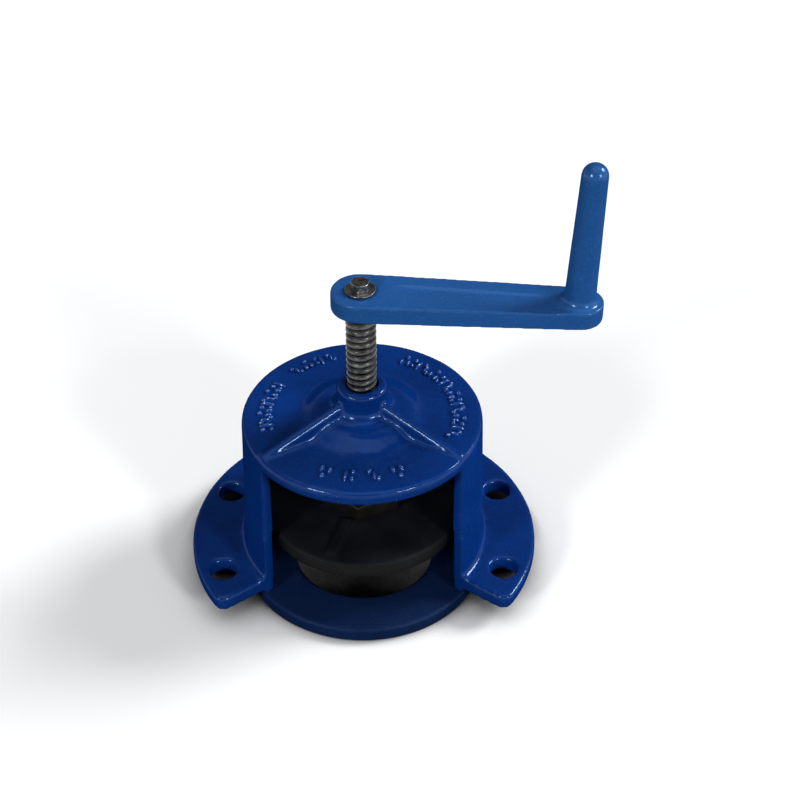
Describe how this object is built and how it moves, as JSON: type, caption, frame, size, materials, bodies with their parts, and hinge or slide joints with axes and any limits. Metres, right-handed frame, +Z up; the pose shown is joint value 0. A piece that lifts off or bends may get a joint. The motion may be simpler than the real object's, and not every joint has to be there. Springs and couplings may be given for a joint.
{
  "type": "pond drain valve",
  "caption": "Pond drain valve: a cast cage with one inlet window over a conical seat, and a rubber-faced plug that a threaded spindle lifts when the crank on top is turned.",
  "frame": {"origin": "on the spindle axis at the underside of the seat ring", "axes": "+Z up along the spindle, the inlet window faces -Y, the crank points to +X in the drawn position"},
  "size_m": [0.3219, 0.242, 0.3873],
  "materials": {
    "ring_paint": "matte dark blue epoxy paint on cast iron",
    "cage_paint": "glossy thick blue epoxy paint on cast iron",
    "spindle_steel": "turned stainless steel",
    "crank_paint": "light blue epoxy paint on cast iron",
    "bolt_steel": "stainless steel",
    "plug_coating": "black rubber coating on cast iron",
    "seal_rubber": "black moulded rubber",
    "plate_steel": "stainless plate",
    "nut_bronze": "dull dark bronze"
  },
  "bodies": {
    "body": {"seat_ring": "ring_paint", "cage_body": "cage_paint"},
    "plug": {"plug_disc": "plug_coating", "plug_seal": "seal_rubber", "clamp_plate": "plate_steel", "cap_nut": "nut_bronze"},
    "screw": {"spindle": "spindle_steel", "crank": "crank_paint", "crank_washer": "bolt_steel", "crank_bolt": "bolt_steel"}
  },
  "joints": [
    {"name": "plug_lift", "type": "slide", "parent": "body", "child": "plug", "axis": [0, 0, 1], "range_m": [-0.0412, 0.048]},
    {"name": "crank_turn", "type": "hinge", "parent": "plug", "child": "screw", "pos_m": [0, 0, 0.2], "axis": [0, 0, 1], "range_deg": [-2471, 2879]}
  ],
  "couplings": [
    {"joint": "plug_lift", "follows": "crank_turn", "m_per_rad": 0.00095493}
  ]
}
